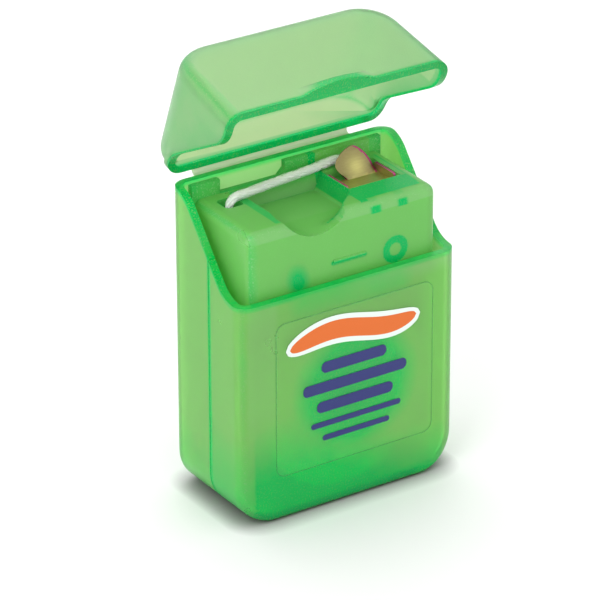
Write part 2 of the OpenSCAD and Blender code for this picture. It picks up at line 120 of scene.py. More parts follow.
def grain_group():
    """A fine moulded grain: a height for the bump, a roughness that wanders a little, pale speckles, and a
    broad cloud round zero that lets a colour drift."""
    group = bpy.data.node_groups.new("moulded grain", "ShaderNodeTree")
    for way, names in (
        ("INPUT", ("Fine scale", "Roughness", "Wander")),
        ("OUTPUT", ("Height", "Roughness", "Speckle", "Cloud")),
    ):
        for name in names:
            group.interface.new_socket(name, in_out=way, socket_type="NodeSocketFloat")
    link = group.links.new
    way_in = group.nodes.new("NodeGroupInput")
    way_out = group.nodes.new("NodeGroupOutput")
    place = add_node(group, "TexCoord")
    fine = add_node(group, "TexNoise", {"Detail": 2.0})
    broad = add_node(group, "TexNoise", {"Scale": 160.0, "Detail": 3.0})
    dust = add_node(group, "TexNoise", {"Scale": 4200.0, "Detail": 1.0})
    centred = add_node(group, "Math", {1: 0.5}, operation="SUBTRACT")
    spread = add_node(group, "Math", operation="MULTIPLY_ADD")
    sharpen = add_node(group, "Math", {1: 6.0, 2: -3.4}, operation="MULTIPLY_ADD", use_clamp=True)
    for noise in (fine, broad, dust):
        link(place.outputs["Object"], noise.inputs["Vector"])
    link(way_in.outputs["Fine scale"], fine.inputs["Scale"])
    link(broad.outputs["Fac"], centred.inputs[0])
    link(centred.outputs["Value"], spread.inputs[0])
    link(way_in.outputs["Wander"], spread.inputs[1])
    link(way_in.outputs["Roughness"], spread.inputs[2])
    link(dust.outputs["Fac"], sharpen.inputs[0])
    link(fine.outputs["Fac"], way_out.inputs["Height"])
    link(spread.outputs["Value"], way_out.inputs["Roughness"])
    link(sharpen.outputs["Value"], way_out.inputs["Speckle"])
    link(centred.outputs["Value"], way_out.inputs["Cloud"])
    return group


moulded_grain = grain_group()


def add_grain(material, fine_scale, roughness, wander, bump_height):
    """Places the grain in a material and leads it to its Principled shader."""
    tree = material.node_tree
    shader = tree.nodes["Principled BSDF"]
    values = {"Fine scale": fine_scale, "Roughness": roughness, "Wander": wander}
    grain = add_node(tree, "Group", values, node_tree=moulded_grain)
    bump = add_node(tree, "Bump", {"Strength": 1.0, "Distance": bump_height})
    tree.links.new(grain.outputs["Height"], bump.inputs["Height"])
    tree.links.new(grain.outputs["Roughness"], shader.inputs["Roughness"])
    tree.links.new(bump.outputs["Normal"], shader.inputs["Normal"])
    return grain


def frosted_plastic(name, face, edge, pale, clear):
    """Translucent plastic. face is its colour on flat walls, and edge where more plastic lies behind or
    shade is painted.
    pale is painted light, as on the inside of a wall with light behind it, and the painted highlight on
    rounded edges."""
    material, tree, shader = new_material(
        name, {"IOR": 1.45, "Specular IOR Level": 0.12, "Transmission Weight": clear})
    link = tree.links.new
    grain = add_grain(material, 5200.0, 0.3, 0.12, 0.00002)
    masks = {}
    for mask in ("edge", "lit", "edge_highlight"):
        masks[mask] = add_node(tree, "Attribute", attribute_name=mask).outputs["Fac"]
    level = add_node(tree, "Math", {1: 1.4, 2: -0.32}, operation="MULTIPLY_ADD")
    drift = add_node(tree, "Math", {1: 0.55}, operation="MULTIPLY_ADD")
    stipple = add_node(tree, "Math", {1: 0.2}, operation="MULTIPLY_ADD", use_clamp=True)
    # Painted highlight: pale speckles on the rounded edges.
    highlights = add_node(tree, "Math", operation="MULTIPLY")
    link(masks["edge"], level.inputs[0])
    link(grain.outputs["Cloud"], drift.inputs[0])
    link(level.outputs["Value"], drift.inputs[2])
    link(grain.outputs["Height"], stipple.inputs[0])
    link(drift.outputs["Value"], stipple.inputs[2])
    link(masks["edge_highlight"], highlights.inputs[0])
    link(grain.outputs["Speckle"], highlights.inputs[1])
    colour = blend_colours(tree, face, edge, stipple.outputs["Value"])
    colour = blend_colours(tree, colour, pale, masks["lit"])
    colour = blend_colours(tree, colour, pale, highlights.outputs["Value"])
    link(colour, shader.inputs["Base Color"])
    absorption = add_node(tree, "VolumeAbsorption", {"Color": (0.0, 0.93, 0.0, 1.0), "Density": 60.0})
    link(absorption.outputs["Volume"], tree.nodes["Material Output"].inputs["Volume"])
    return material


case_plastic = frosted_plastic(
    "frosted green case", (0.37, 0.84, 0.21), (0.0, 0.90, 0.18), (0.60, 0.90, 0.50), 0.66)
lid_plastic = frosted_plastic(
    "frosted green lid", (0.45, 0.73, 0.40), (0.0, 0.70, 0.16), (0.95, 0.95, 0.62), 0.76)
frame_plastic = frosted_plastic(
    "frosted green frame", (0.24, 0.74, 0.165), (0.0, 0.70, 0.155), (0.62, 0.90, 0.56), 0.42)


# Case shells
# Two deep half shells, front and back, each moulded in one piece and joined at a seam round sides and floor.
# The open rim is low in front and climbs in an S to the hinge.
case_half_width = 0.019
case_half_depth = 0.0095
front_lip_z = 0.036
hinge_z = 0.049
wall = 0.0012
edge_round = 0.0025
foot_corner = 0.006
seam_y = -0.001
seam_gap = 0.00006
rim_bend = 0.0054
rim_slope = math.radians(50.0)
rim_flat = 0.002
rim_round = 0.0003
rim_rows = (0.0003, 0.0006, 0.0009, 0.0012)
rim_glow = 0.0003
rim_fade = 0.0006
under_skin = 0.00002
sidestep = Vector((0.000013, 0.000017, 0.000011))
half_turned = 0.293
foot_share = 0.42
# Painted shade on the case: darker towards the foot, a painted shadow of the spool's hub behind the front, a
# shaded band under the front lip.
foot_shade_top, foot_shade_fade = 0.019, 0.013
foot_shade_right, foot_shade_start, foot_shade_run = 0.0085, -0.004, 0.014
hub_shade = (0.0008, 0.0184)
hub_shade_radius, hub_shade_fade = 0.0120, 0.0046
foot_band = 0.0022
seam_band = 0.0003
brow_shade, brow_low, brow_rise = 0.45, 0.0305, 0.003
brow_half, brow_fade = 0.0125, 0.004
# Painted light on the case: the front's left column and the right half of the front lip.
lip_band, lip_glow_start, lip_glow_run = 0.0014, -0.003, 0.008
column_edge, column_low, column_rise = -0.0128, 0.006, 0.012
touch = 0.0002


def rim_height(y):
    """Height of the S-shaped rim at a place between front and back."""
    low_y = -case_half_depth + rim_flat
    climb = hinge_z - front_lip_z
    run = (climb - 2 * rim_bend * (1 - math.cos(rim_slope))) / math.tan(rim_slope)
    bend_y = rim_bend * math.sin(rim_slope)
    high_y = low_y + 2 * bend_y + run
    bend_z = rim_bend * (1 - math.cos(rim_slope))
    if y <= low_y:
        return front_lip_z
    if y < low_y + bend_y:
        return front_lip_z + rim_bend - math.sqrt(rim_bend ** 2 - (y - low_y) ** 2)
    if y < high_y - bend_y:
        return front_lip_z + bend_z + (y - low_y - bend_y) * math.tan(rim_slope)
    if y < high_y:
        return hinge_z - rim_bend + math.sqrt(rim_bend ** 2 - (high_y - y) ** 2)
    return hinge_z


def add_box(name, low, high):
    """A new box between two corners, alone selected and active."""
    bpy.ops.object.select_all(action="DESELECT")
    middle = (Vector(low) + Vector(high)) / 2
    bpy.ops.mesh.primitive_cube_add(size=1.0, location=middle)
    box = bpy.context.object
    box.name = box.data.name = name
    box.scale = Vector(high) - Vector(low)
    bpy.ops.object.transform_apply(location=True, rotation=True, scale=True)
    return box


def pick_edges(test):
    """Selects, in edit mode, the edges whose two ends and middle pass the test."""
    bpy.ops.mesh.select_mode(type="EDGE")
    bpy.ops.mesh.select_all(action="DESELECT")
    mesh = bmesh.from_edit_mesh(bpy.context.object.data)
    for edge in mesh.edges:
        a, b = edge.verts[0].co, edge.verts[1].co
        edge.select_set(test(a, b))
    bmesh.update_edit_mesh(bpy.context.object.data)


def pick_faces(test):
    """Selects, in edit mode, the faces that pass a test of their middle and normal."""
    bpy.ops.mesh.select_mode(type="FACE")
    bpy.ops.mesh.select_all(action="DESELECT")
    mesh = bmesh.from_edit_mesh(bpy.context.object.data)
    for face in mesh.faces:
        face.select_set(test(face.calc_center_median(), face.normal))
    bmesh.update_edit_mesh(bpy.context.object.data)


def cut_across(axis, places):
    """Cuts the whole mesh with planes square to an axis, in edit mode."""
    normal = [0.0, 0.0, 0.0]
    normal[axis] = 1.0
    for place in places:
        point = [0.0, 0.0, 0.0]
        point[axis] = place
        bpy.ops.mesh.select_all(action="SELECT")
        bpy.ops.mesh.bisect(plane_co=point, plane_no=normal)


def near(a, b, slack=1e-6):
    """True if two lengths are the same but for rounding."""
    return abs(a - b) < slack


def steps(first, last, count):
    """Evenly spaced places, ends included."""
    return [first + (last - first) * i / (count - 1) for i in range(count)]


def share_of(value):
    """A value held between 0 and 1."""
    return min(1.0, max(0.0, value))


def turned(normal):
    """How far a surface has turned round an edge: 0 on a wall square to an axis, 1 half way to the next."""
    return (1.0 - max(abs(part) for part in normal)) / half_turned


def round_corners(test, radius, segments):
    """Rounds, in edit mode, the edges that pass the test."""
    pick_edges(test)
    bpy.ops.mesh.bevel(offset=radius, segments=segments, affect="EDGES")


def give_wall(piece, thickness, quality=True):
    """Thickens an outer skin inwards."""
    skin = piece.modifiers.new("wall", "SOLIDIFY")
    skin.thickness = thickness
    skin.offset = -1.0
    skin.use_even_offset = True
    skin.use_quality_normals = quality
    bpy.ops.object.modifier_apply(modifier=skin.name)


def bevel_edges(piece, edge, segments=2, angle=40.0):
    """Rounds the sharp edges."""
    bevel = piece.modifiers.new("edge round", "BEVEL")
    bevel.limit_method = "ANGLE"
    bevel.angle_limit = math.radians(angle)
    bevel.width = edge
    bevel.segments = segments
    bevel.use_clamp_overlap = True
    bevel.harden_normals = False
    bpy.ops.object.modifier_apply(modifier=bevel.name)


def smooth_flats(piece):
    """Smooths what curves and weights the normals, so that flats stay flat."""
    bpy.ops.object.shade_smooth_by_angle(angle=math.radians(35.0))
    weight = piece.modifiers.new("flat faces", "WEIGHTED_NORMAL")
    weight.keep_sharp = True
    bpy.ops.object.modifier_apply(modifier=weight.name)


def round_edges(piece, edge, segments=2, angle=40.0):
    """Rounds the sharp edges and smooths the piece."""
    bevel_edges(piece, edge, segments, angle)
    smooth_flats(piece)


def paint_depth_and_shade(piece, emerald, lit, blur=0):
    """Marks how much plastic lies behind each point, from 0 on a plain wall to 1 on rims, ribs and bosses.
    From a place and a normal, emerald gives more of it and adds painted shade, and lit gives painted light,
    such as the light on a wall from behind. blur is how many vertices far the light spreads sideways.
    Rounded edges get a speckled painted highlight."""
    solid = bmesh.new()
    solid.from_mesh(piece.data)
    tree = BVHTree.FromBMesh(solid)
    shares = []
    for vertex in solid.verts:
        inwards = -vertex.normal
        depth = tree.ray_cast(vertex.co + inwards * under_skin + sidestep, inwards)[3] or 0.0
        shares.append(share_of((depth / wall - 1.25) / 0.6))
    for _ in range(blur):
        around = [[edge.other_vert(vertex).index for edge in vertex.link_edges] for vertex in solid.verts]
        shares = [
            (shares[i] + sum(shares[other] for other in others)) / (1 + len(others))
            for i, others in enumerate(around)
        ]
    edge, glow, edge_highlight = (
        piece.data.attributes.new(name, "FLOAT", "POINT").data for name in ("edge", "lit", "edge_highlight"))
    for i, vertex in enumerate(solid.verts):
        share = share_of(emerald(vertex.co, vertex.normal, max(shares[i], 0.3 * turned(vertex.normal))))
        edge[i].value = share
        glow[i].value = lit(vertex.co, vertex.normal) * (1.0 - share)
        edge_highlight[i].value = min(1.0, 0.05 + 0.5 * turned(vertex.normal))
    solid.free()


def raise_rows(skin, rim_z, gap):
    """Lifts the rows beside a level rim onto the S curve."""
    mesh = bmesh.from_edit_mesh(skin.data)
    for vertex in mesh.verts:
        if abs(vertex.co.z - rim_z) < rim_rows[-1] + 1e-6:
            vertex.co.z = rim_height(vertex.co.y) + gap + vertex.co.z - rim_z
    bmesh.update_edit_mesh(skin.data)


def case_skin(name):
    """The case's outer skin up to the rim, front and back in one, left in edit mode."""
    skin = add_box(
        name, (-case_half_width, -case_half_depth, 0.0), (case_half_width, case_half_depth, front_lip_z))
    bpy.ops.object.mode_set(mode="EDIT")
    pick_faces(lambda middle, normal: normal.z > 0.9)
    bpy.ops.mesh.delete(type="FACE")
    round_corners(lambda a, b: near(a.z, 0) and near(b.z, 0) and near(a.x, b.x), foot_corner, 14)
    bpy.ops.object.mode_set(mode="OBJECT")
    corners = [vertex.co.copy() for vertex in skin.data.vertices]
    roundness = skin.data.attributes.new("bevel_weight_edge", "FLOAT", "EDGE")
    for edge in skin.data.edges:
        a, b = (corners[i] for i in edge.vertices)
        if near(a.y, b.y) and not (near(a.z, front_lip_z) and near(b.z, front_lip_z)):
            low = 1.0 - min(1.0, (a.z + b.z) / 2 / foot_corner)
            roundness.data[edge.index].value = 1.0 - (1.0 - foot_share) * low * low
    rounding = skin.modifiers.new("edge round", "BEVEL")
    rounding.limit_method = "WEIGHT"
    rounding.width = edge_round
    rounding.segments = 8
    bpy.ops.object.modifier_apply(modifier=rounding.name)
    bpy.ops.object.mode_set(mode="EDIT")
    cut_across(1, steps(-case_half_depth + rim_flat, case_half_depth - edge_round, 36))
    cut_across(1, [seam_y + side * band for side in (-1, 1) for band in (seam_band, 2 * seam_band)])
    cut_across(2, [front_lip_z - row for row in rim_rows])
    cut_across(2, steps(edge_round, front_lip_z - 0.003, 30))
    cut_across(0, steps(-case_half_width + edge_round, case_half_width - edge_round, 42))
    raise_rows(skin, front_lip_z, 0.0)
    return skin


def case_emerald(co, normal, share):
    """The deep green places of the case: rim and seam, and painted shade on the foot, in front of the
    spool's hub and under the lip.
    """
    in_front = co.y < seam_y
    on_side = abs(co.x) > case_half_width - edge_round
    rim = 1.0 - (abs(rim_height(co.y) - co.z) - rim_glow) / rim_fade
    rim = min(rim, 0.72 if co.y < seam_y - 0.004 and co.z < front_lip_z + lip_band else 0.82)
    seam = 0.9 * (2.0 - abs(co.y - seam_y) / seam_band) if on_side or co.z < edge_round else 0.0
    band = 0.95 * (1.0 - (co.z - foot_band / 2) / foot_band)
    # Painted shade: deeper green towards the foot, and a painted shadow of the spool's hub on the front.
    to_right = share_of((co.x - foot_shade_start) / foot_shade_run)
    foot = (foot_shade_top - foot_shade_right * to_right - co.z) / foot_shade_fade
    foot = min(0.95, foot * (0.6 if on_side else 1.0) * (1.0 if in_front else 0.6))
    hub = (hub_shade_radius - math.hypot(co.x - hub_shade[0], co.z - hub_shade[1])) / hub_shade_fade
    brow = brow_shade * min(1.0, (co.z - brow_low) / brow_rise, (brow_half - abs(co.x)) / brow_fade)
    return max(min(share, 0.85), rim, seam, band, foot, hub if in_front else 0.0, brow if in_front else 0.0)


def case_lit(co, normal):
    """Paler places of the case: the front's left edge, the front rim's right half, the inner back wall."""
    if co.y > case_half_depth - wall - touch and normal.y < -0.6:
        return 0.75
    if normal.y < -0.6 and co.y < -case_half_depth + touch and co.x < column_edge:
        return 0.22 * share_of((co.z - column_low) / column_rise)
    if abs(front_lip_z - co.z) < lip_band and co.y < seam_y - 0.004:
        return 0.35 * share_of((co.x - lip_glow_start) / lip_glow_run)
    return 0.0


def case_half(name, side):
    """One half shell: side is -1 for the front and 1 for the back."""
    half = case_skin(name)
    bpy.ops.mesh.select_all(action="SELECT")
    bpy.ops.mesh.bisect(
        plane_co=(0.0, seam_y + side * seam_gap / 2, 0.0), plane_no=(0.0, float(side), 0.0),
        clear_inner=True)
    bpy.ops.object.mode_set(mode="OBJECT")
    give_wall(half, wall)
    round_edges(half, rim_round, 3)
    paint_depth_and_shade(half, case_emerald, case_lit)
    half.data.materials.append(case_plastic)
    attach(half, "case")
    return half


front_half = case_half("front_half", -1)
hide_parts("front_shell")
rear_half = case_half("rear_half", 1)
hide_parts("rear_shell")


# Lid
# One deep moulded cap, hinged at the back edge: slanted top, rounded corners, the same S rim as the case,
# and a solid thumb lip on its front edge. It stands open, tipped back about its hinge.
lid_open = math.radians(77.0)
hinge_out = 0.00065
hinge_y = case_half_depth + hinge_out
lid_gap = 0.00025
lid_top_front = 0.0542
lid_top_back = 0.057
lid_corner = 0.006
lid_draft = 0.0008
thumb_half = 0.0063
thumb_out = 0.0013
thumb_high = 0.0023
opening = (
    Matrix.Translation((0.0, hinge_y, hinge_z))
    @ Matrix.Rotation(-lid_open, 4, "X")
    @ Matrix.Translation((0.0, -hinge_y, -hinge_z))
)


def thumb_bulge(x, z):
    """How far the thumb lip stands out of the front wall."""
    radius = (thumb_half ** 2 + thumb_out ** 2) / (2 * thumb_out)
    if abs(x) >= thumb_half:
        return 0.0
    height = (z - front_lip_z - lid_gap) / thumb_high
    fall = 1.0 - share_of(height) ** 3
    return fall * (math.sqrt(radius ** 2 - x ** 2) - radius + thumb_out)


lid_low_z = front_lip_z + lid_gap
lid_cap = add_box(
    "lid_cap", (-case_half_width, -case_half_depth, lid_low_z),
    (case_half_width, case_half_depth, lid_top_front))
bpy.ops.object.mode_set(mode="EDIT")
mesh = bmesh.from_edit_mesh(lid_cap.data)
for vertex in mesh.verts:
    if vertex.co.z > lid_low_z + 0.001:
        vertex.co.x -= math.copysign(lid_draft, vertex.co.x)
        if vertex.co.y > 0:
            vertex.co.z = lid_top_back
bmesh.update_edit_mesh(lid_cap.data)
pick_faces(lambda middle, normal: normal.z < -0.9)
bpy.ops.mesh.delete(type="FACE")
round_corners(lambda a, b: min(a.z, b.z) > hinge_z and near(a.x, b.x), lid_corner, 14)
round_corners(lambda a, b: near(a.y, b.y) and near(abs(a.y), case_half_depth)
              and not (near(a.z, lid_low_z) and near(b.z, lid_low_z)), edge_round, 8)
cut_across(1, steps(-case_half_depth + rim_flat, case_half_depth - edge_round, 36))
cut_across(0, steps(-thumb_half - 0.0002, thumb_half + 0.0002, 27))
cut_across(2, [lid_low_z + row for row in rim_rows])
raise_rows(lid_cap, lid_low_z, lid_gap)
cut_across(2, steps(lid_low_z + 0.00025, lid_low_z + thumb_high, 9))
bpy.ops.object.mode_set(mode="OBJECT")
give_wall(lid_cap, wall)
for vertex in lid_cap.data.vertices:
    if near(vertex.co.y, -case_half_depth, 1e-5):
        vertex.co.y -= thumb_bulge(vertex.co.x, vertex.co.z)
round_edges(lid_cap, rim_round, 3)
lid_middle = Vector((0.0, 0.0, 0.044))


def lid_emerald(co, normal, share):
    """The lid's deep green rim and rounded edges, and its side walls, which are seen more aslant."""
    beside = 0.34 if abs(co.x) > case_half_width - edge_round else 0.0
    rim = 1.0 - (abs(co.z - rim_height(co.y) - lid_gap) - rim_glow) / rim_fade
    return max(share, beside, 0.6 * turned(normal), rim)


def lid_inside(co, normal):
    """Light from behind falls on the inner side of the lid."""
    faces_in = normal.dot(co - lid_middle) < 0.0
    return 1.0 if faces_in and co.z > rim_height(co.y) + lid_gap + rim_rows[-1] else 0.0


paint_depth_and_shade(lid_cap, lid_emerald, lid_inside)
lid_cap.data.transform(opening)
lid_cap.data.materials.append(lid_plastic)
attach(lid_cap, "lid")
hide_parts("lid")


# Hinge film
# The living hinge: a strip of the same plastic, thinned to a third of a millimetre and folded hundreds of
# times, so that it has turned nearly white. It joins the back edges of the case and the lid.
film_left, film_right = -0.0145, 0.0125
film_thick = 0.0003
film_thin = 0.0002
film_rows = 24
film_start_z = hinge_z - film_thick / 2
film_end_y = hinge_y + (lid_gap + film_thick / 2) * math.sin(lid_open) - hinge_out * math.cos(lid_open)
film_end_z = hinge_z + (lid_gap + film_thick / 2) * math.cos(lid_open) + hinge_out * math.sin(lid_open)
film_reach = film_end_y - case_half_depth
film_climb = film_end_z - film_start_z
film_radius = (film_reach ** 2 + film_climb ** 2) / (2 * film_climb)
film_turn = math.asin(min(1.0, film_reach / film_radius)) - math.radians(3.0)
film_length = film_radius * film_turn


def streaks(tree, stretch, detail, dark, light):
    """A colour that runs in streaks: noise stretched along X by unequal scales."""
    place = add_node(tree, "TexCoord")
    mapping = add_node(tree, "Mapping", {"Scale": stretch})
    noise = add_node(tree, "TexNoise", {"Scale": 1.0, "Detail": detail})
    tree.links.new(place.outputs["Object"], mapping.inputs["Vector"])
    tree.links.new(mapping.outputs["Vector"], noise.inputs["Vector"])
    return blend_colours(tree, dark, light, noise.outputs["Fac"])


def worn_white(name):
    """Green plastic that bending has whitened, with fine streaks along the fold."""
    material, tree, shader = new_material(name, {"IOR": 1.45, "Transmission Weight": 0.25})
    colour = streaks(tree, (300.0, 6000.0, 6000.0), 2.0, (0.58, 0.78, 0.44), (0.88, 0.92, 0.76))
    tree.links.new(colour, shader.inputs["Base Color"])
    add_grain(material, 5200.0, 0.4, 0.1, 0.00002)
    return material


film = add_box("living_hinge", (film_left, 0.0, -film_thick / 2), (film_right, film_length, film_thick / 2))
bpy.ops.object.mode_set(mode="EDIT")
cut_across(1, steps(0.0, film_length, film_rows + 1)[1:-1])
cut_across(0, steps(film_left, film_right, 19)[1:-1])
bpy.ops.object.mode_set(mode="OBJECT")
for vertex in film.data.vertices:
    share = vertex.co.y / film_length
    thinned = 1 - (1 - film_thin / film_thick) * math.sin(math.pi * share) ** 2
    radius = film_radius - vertex.co.z * thinned
    turn = share * film_turn
    vertex.co.y = case_half_depth + radius * math.sin(turn)
    vertex.co.z = film_start_z + film_radius - radius * math.cos(turn)
round_edges(film, 0.00005, 2)
film.data.materials.append(worn_white("whitened hinge"))
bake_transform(film)
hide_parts("hinge_film")


# Inner frame
# One moulding that drops into the case: the neck with its finger recess, exit hole and cutter window, and
# below it a back plate with side rails and the hollow post that the spool turns on.
neck_half = 0.0163
neck_front = -0.0078
neck_top = 0.0464
neck_bottom = 0.0324
neck_round = 0.0015
frame_wall = 0.0012
neck_band = neck_top - neck_round
under_top = neck_top - frame_wall / 2
behind_front = neck_front + frame_wall / 2
plate_front, plate_back = 0.0072, 0.0082
plate_half, plate_low, plate_high, plate_corner = 0.0165, 0.0025, 0.0486, 0.0035
weld = 0.0001
merge_below = 0.000004
bevel_width = 0.00018


def pick_piece(piece):
    """Makes a piece the only selected one, and active."""
    bpy.ops.object.select_all(action="DESELECT")
    piece.select_set(True)
    bpy.context.view_layer.objects.active = piece


def merge_slivers():
    """Merges, in edit mode, points too close to tell apart, and drops the slivers between them."""
    bpy.ops.mesh.select_all(action="SELECT")
    bpy.ops.mesh.remove_doubles(threshold=merge_below)
    bpy.ops.mesh.dissolve_degenerate(threshold=merge_below)


def boolean(piece, tool, operation):
    """Joins a tool to a piece or cuts it out, and removes the tool."""
    bpy.ops.object.select_all(action="DESELECT")
    bpy.context.view_layer.objects.active = piece
    step = piece.modifiers.new(operation.lower(), "BOOLEAN")
    step.operation = operation
    step.solver = "EXACT"
    step.object = tool
    bpy.ops.object.modifier_apply(modifier=step.name)
    bpy.data.objects.remove(tool)


def rod_along_y(name, radius, front, back, x, z, sides=48):
    """A new cylinder along Y."""
    bpy.ops.object.select_all(action="DESELECT")
    bpy.ops.mesh.primitive_cylinder_add(
        vertices=sides, radius=radius, depth=back - front,
        location=(x, (front + back) / 2, z), rotation=(math.pi / 2, 0.0, 0.0))
    rod = bpy.context.object
    rod.name = name
    bpy.ops.object.transform_apply(location=True, rotation=True, scale=True)
    return rod


def new_piece(name, mesh):
    """A new piece from a bmesh, which it frees."""
    piece = bpy.data.objects.new(name, bpy.data.meshes.new(name))
    mesh.to_mesh(piece.data)
    mesh.free()
    scene.collection.objects.link(piece)
    return piece


def loft(name, rings):
    """A closed solid through rings of equally many points."""
    mesh = bmesh.new()
    made = [[mesh.verts.new(point) for point in ring] for ring in rings]
    for ring, beyond in zip(made, made[1:]):
        for i in range(len(ring)):
            after = (i + 1) % len(ring)
            mesh.faces.new((ring[i], ring[after], beyond[after], beyond[i]))
    mesh.faces.new(made[0])
    mesh.faces.new(list(reversed(made[-1])))
    bmesh.ops.recalc_face_normals(mesh, faces=mesh.faces)
    return new_piece(name, mesh)


recess_left, recess_right = -0.0094, 0.0044
recess_floor = 0.0437
recess_front, recess_back = -0.002, 0.0054
scoop_x, scoop_radius = -0.0046, 0.0064
recess_fillet = 0.00025
recess_draft = 0.0008
recess_points = 32


def scoop_outline(grow, top):
    """The U of the neck's front, from its upper left end round the bottom to its upper right end."""
    centre_z = recess_floor + scoop_radius
    radius = scoop_radius + grow
    end = math.asin(min(1.0, (centre_z - top) / radius))
    return [
        (scoop_x + radius * math.cos(a), centre_z + radius * math.sin(a))
        for a in steps(math.pi + end, 2 * math.pi - end, recess_points + 1)
    ]


def trough_outline(grow, top):
    """The flat trough behind the scoop, with filleted floor corners, point for point like the U."""
    left, right, low = recess_left - grow, recess_right + grow, recess_floor - grow
    middle, fillet = (left + right) / 2, recess_fillet
    half = []
    for i in range(recess_points // 2):
        share = i / (recess_points // 2)
        if share < 0.25:
            half.append((left, top + (low + fillet - top) * share / 0.25))
        elif share < 0.6:
            turn = (share - 0.25) / 0.35 * math.pi / 2
            half.append((left + fillet - fillet * math.cos(turn), low + fillet - fillet * math.sin(turn)))
        else:
            half.append((left + fillet + (middle - left - fillet) * (share - 0.6) / 0.4, low))
    other = [(2 * middle - x, z) for x, z in reversed(half)]
    deep = neck_top - recess_floor
    leaning = [(x - recess_draft * min(1.0, (neck_top - z) / deep), z) for x, z in other]
    return half + [(middle, low)] + leaning


def recess_solid(name, grow, front, back, top):
    """The recess as a solid: the U in front widens into the trough."""
    first, last = scoop_outline(grow, top), trough_outline(grow, top)
    rings = [[(x, front, z) for x, z in first]]
    for share in steps(0.0, 1.0, 7):
        eased = share * share * (3 - 2 * share)
        y = neck_front + frame_wall + (recess_front - neck_front - frame_wall) * share
        rings.append([
            (a[0] + (b[0] - a[0]) * eased, y, a[1] + (b[1] - a[1]) * eased) for a, b in zip(first, last)
        ])
    rings.append([(x, back, z) for x, z in last])
    return loft(name, rings)


window_low, window_high = (0.0047, -0.002), (0.0137, 0.0052)
seat_z = 0.0448
ledge = 0.0012
seat_margin, seat_front, seat_back, seat_low = 0.001, -0.0054, 0.0062, 0.044
tab_places, tab_half, tab_back = (0.0055, 0.0102), 0.0009, -0.0050
boss_places, boss_z = (-0.0082, 0.0089), 0.0379
boss_radius, boss_bore, boss_back = 0.00245, 0.00115, -0.0026
notch_outline = (
    (-0.0117, neck_top), (-0.0015, neck_top), (-0.0004, neck_top + 0.0011), (-0.0004, 0.05), (-0.0117, 0.05))
bead_x, bead_z = 0.0008, front_lip_z + 0.0027
bead_length, bead_radius = 0.0056, 0.0003
spool_z = 0.0167
post_radius, post_bore, post_front = 0.0034, 0.002, -0.0082
thrust_radius, thrust_high = 0.005, 0.0004
rail_low, rail_setback, rail_inset = 0.006, 0.003, 0.00002
hole_low, hole_high, hole_corner = (-0.0138, 0.002), (-0.0108, 0.0052), 0.0006

neck = add_box(
    "neck_frame", (-neck_half, neck_front, neck_bottom), (neck_half, plate_front + weld, neck_top))
bpy.ops.object.mode_set(mode="EDIT")
round_corners(lambda a, b: near(a.z, neck_top) and near(b.z, neck_top) and near(a.x, b.x)
              or near(a.y, neck_front) and near(b.y, neck_front) and not near(a.z + b.z, 2 * neck_bottom),
              neck_round, 7)
pick_faces(lambda middle, normal: normal.z < -0.9 or normal.y > 0.9)
bpy.ops.mesh.delete(type="FACE")
bpy.ops.object.mode_set(mode="OBJECT")
give_wall(neck, frame_wall, quality=False)

boolean(neck, recess_solid(
    "recess tray", frame_wall, behind_front, recess_back + frame_wall, under_top), "UNION")
boolean(neck, add_box(
    "window seat", (window_low[0] - seat_margin, seat_front, seat_low),
    (window_high[0] + seat_margin, seat_back, under_top)), "UNION")
for tab_x in tab_places:
    boolean(neck, add_box(
        "tab", (tab_x - tab_half, behind_front, seat_low), (tab_x + tab_half, tab_back, under_top)), "UNION")
for boss_x in boss_places:
    boolean(neck, rod_along_y("boss", boss_radius, behind_front, boss_back, boss_x, boss_z), "UNION")
plate = add_box("back plate", (-plate_half, plate_front, plate_low), (plate_half, plate_back, plate_high))
bpy.ops.object.mode_set(mode="EDIT")
round_corners(lambda a, b: near(a.z, plate_low) and near(b.z, plate_low) and near(a.x, b.x), plate_corner, 8)
bpy.ops.object.mode_set(mode="OBJECT")
boolean(plate, loft("notch", [
    [(x, y, z) for x, z in notch_outline] for y in (plate_front - 0.001, plate_back + 0.001)]), "DIFFERENCE")
boolean(neck, plate, "UNION")
bead = rod_along_y("snap bead", bead_radius, -bead_length / 2, bead_length / 2, 0.0, 0.0, 24)
bead.data.transform(Matrix.Translation((bead_x, neck_front, bead_z)) @ Matrix.Rotation(math.pi / 2, 4, "Z"))
boolean(neck, bead, "UNION")
rail_outer, rail_inner = neck_half - rail_inset, neck_half - frame_wall + rail_inset
for low_x, high_x in ((-rail_outer, -rail_inner), (rail_inner, rail_outer)):
    boolean(neck, add_box(
        "rail", (low_x, neck_front + rail_setback, rail_low),
        (high_x, plate_front + weld, neck_bottom + weld)), "UNION")
boolean(neck, rod_along_y(
    "thrust ring", thrust_radius, plate_front - thrust_high, plate_front + weld, 0.0, spool_z), "UNION")
boolean(neck, rod_along_y("post", post_radius, post_front, plate_front + weld, 0.0, spool_z), "UNION")
boolean(neck, rod_along_y("post bore", post_bore, -0.0095, plate_front - 0.001, 0.0, spool_z), "DIFFERENCE")
boolean(neck, recess_solid("recess", 0.0, neck_front - 0.002, recess_back, neck_top + 0.001), "DIFFERENCE")
boolean(neck, add_box("window", (*window_low, seat_z), (*window_high, 0.06)), "DIFFERENCE")
boolean(neck, add_box(
    "window floor", (window_low[0] + ledge, window_low[1] + ledge, 0.04),
    (window_high[0] - ledge, window_high[1] - ledge, 0.06)), "DIFFERENCE")
for boss_x in boss_places:
    boolean(neck, rod_along_y(
        "boss bore", boss_bore, neck_front + frame_wall, -0.001, boss_x, boss_z, 32), "DIFFERENCE")
hole = add_box("exit hole", (*hole_low, 0.044), (*hole_high, 0.048))
bpy.ops.object.mode_set(mode="EDIT")
